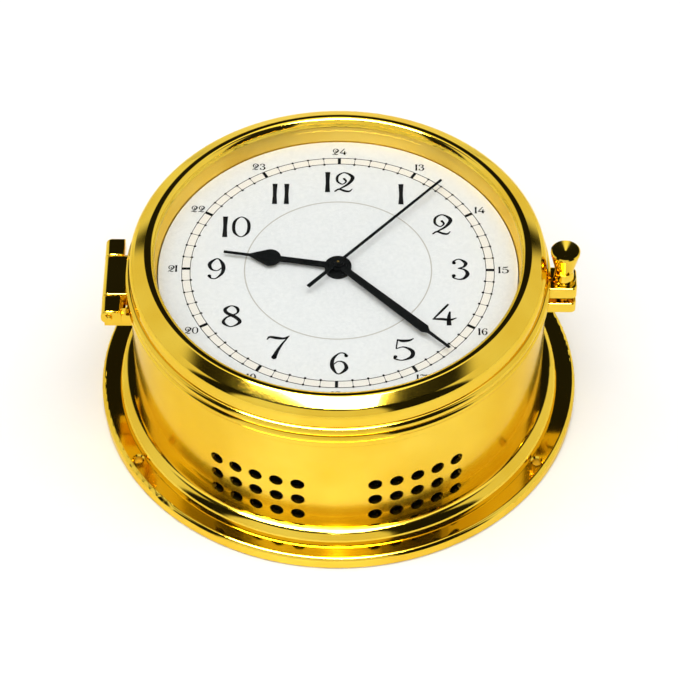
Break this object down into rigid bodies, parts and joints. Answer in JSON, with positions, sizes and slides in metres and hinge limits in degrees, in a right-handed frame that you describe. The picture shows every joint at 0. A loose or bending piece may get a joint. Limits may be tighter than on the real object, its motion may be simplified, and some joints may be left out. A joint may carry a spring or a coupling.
{
  "type": "marine clock",
  "caption": "Round brass marine clock: vented drum case on a screw-down flange, hinged glazed bezel with thumb screw, white dial with hour, minute and second hands, quartz movement.",
  "frame": {"origin": "centre of the flange's back face, on the plane it is screwed down on", "axes": "+Z out of the dial, +Y to 12 o'clock, +X to 3 o'clock"},
  "size_m": [0.18, 0.18, 0.0735],
  "materials": {
    "brass": "polished, lacquered",
    "turned_brass": "turned",
    "steel": "plated",
    "dial_white": "satin",
    "dial_ink": "printed, matt",
    "black_paint": "satin",
    "glass": "clear, flat",
    "rubber": "matt",
    "black_plastic": "moulded",
    "nylon": "moulded",
    "cell_wrap": "wrapped cell",
    "board": "lacquered",
    "copper_wire": "enamelled wire"
  },
  "bodies": {
    "case": {"base_flange": "brass", "case_drum": "brass", "case_rim": "brass", "back_plate": "steel", "back_plate_screws": "steel", "dial_carrier": "steel", "carrier_screws": "steel", "dial_plate": "dial_white", "dial_track": "dial_ink", "hinge_bracket": "brass", "hinge_pin": "brass", "case_clamp_lug": "brass", "movement_frame": "black_plastic", "movement_cover": "black_plastic", "cover_screws": "steel", "rubber_washer": "rubber", "centre_nut": "black_paint", "battery_cell": "cell_wrap", "plus_contact": "steel", "minus_contact": "steel", "circuit_board": "board", "chip": "black_plastic", "crystal": "steel", "coil_bobbin": "nylon", "coil_winding": "copper_wire", "coil_core": "steel", "stator": "steel"},
    "bezel": {"bezel_ring": "brass", "glass_pane": "glass", "glass_gasket": "rubber", "retaining_ring": "brass", "retaining_screws": "steel", "bezel_knuckle": "brass", "bezel_clamp_lug": "brass"},
    "clamp_lift": {"clamp_washer": "brass"},
    "clamp_screw": {"thumb_screw": "brass"},
    "seconds": {"second_wheel": "turned_brass", "second_hand": "black_paint"},
    "minutes": {"centre_wheel": "nylon", "cannon_pinion": "turned_brass", "minute_hand": "black_paint"},
    "hours": {"hour_wheel": "nylon", "hour_hand": "black_paint"},
    "third": {"third_wheel": "nylon"},
    "motion": {"minute_wheel": "nylon"},
    "intermediate": {"intermediate_wheel": "nylon"},
    "rotor": {"rotor_magnet": "steel", "rotor_pinion": "nylon"},
    "setting": {"setting_stem": "nylon", "setting_knob": "black_plastic"}
  },
  "joints": [
    {"name": "bezel_swing", "type": "hinge", "parent": "case", "child": "bezel", "pos_m": [-0.0836, 0, 0.0562], "axis": [0, -1, 0], "range_deg": [0, 120]},
    {"name": "clamp_rise", "type": "slide", "parent": "bezel", "child": "clamp_lift", "axis": [0, 0, 1], "range_m": [0, 0.0064]},
    {"name": "clamp_turn", "type": "hinge", "parent": "clamp_lift", "child": "clamp_screw", "pos_m": [0.0832, 0, 0.06], "axis": [0, 0, 1], "range_deg": [0, 2881]},
    {"name": "second_turn", "type": "hinge", "parent": "case", "child": "seconds", "pos_m": [0, 0, 0.05], "axis": [0, 0, -1], "continuous": true},
    {"name": "minute_turn", "type": "hinge", "parent": "case", "child": "minutes", "pos_m": [0, 0, 0.05], "axis": [0, 0, -1], "continuous": true},
    {"name": "hour_turn", "type": "hinge", "parent": "case", "child": "hours", "pos_m": [0, 0, 0.05], "axis": [0, 0, -1], "continuous": true},
    {"name": "third_turn", "type": "hinge", "parent": "case", "child": "third", "pos_m": [-0.0115, 0.00419, 0.05], "axis": [0, 0, -1], "continuous": true},
    {"name": "motion_turn", "type": "hinge", "parent": "case", "child": "motion", "pos_m": [0.0096, 0, 0.05], "axis": [0, 0, -1], "continuous": true},
    {"name": "intermediate_turn", "type": "hinge", "parent": "case", "child": "intermediate", "pos_m": [0.00311, 0.01159, 0.05], "axis": [0, 0, -1], "continuous": true},
    {"name": "rotor_turn", "type": "hinge", "parent": "case", "child": "rotor", "pos_m": [0.01038, 0.01579, 0.05], "axis": [0, 0, -1], "continuous": true},
    {"name": "setting_turn", "type": "hinge", "parent": "case", "child": "setting", "pos_m": [0.01791, 0.0048, 0.05], "axis": [0, 0, -1], "continuous": true}
  ],
  "couplings": [
    {"joint": "minute_turn", "follows": "second_turn", "ratio": 0.016667},
    {"joint": "hour_turn", "follows": "second_turn", "ratio": 0.0013889},
    {"joint": "third_turn", "follows": "second_turn", "ratio": -0.13333},
    {"joint": "motion_turn", "follows": "second_turn", "ratio": -0.0055556},
    {"joint": "intermediate_turn", "follows": "second_turn", "ratio": -5},
    {"joint": "rotor_turn", "follows": "second_turn", "ratio": 30},
    {"joint": "setting_turn", "follows": "second_turn", "ratio": 0.016667},
    {"joint": "clamp_turn", "follows": "clamp_rise", "rad_per_m": 7854}
  ]
}
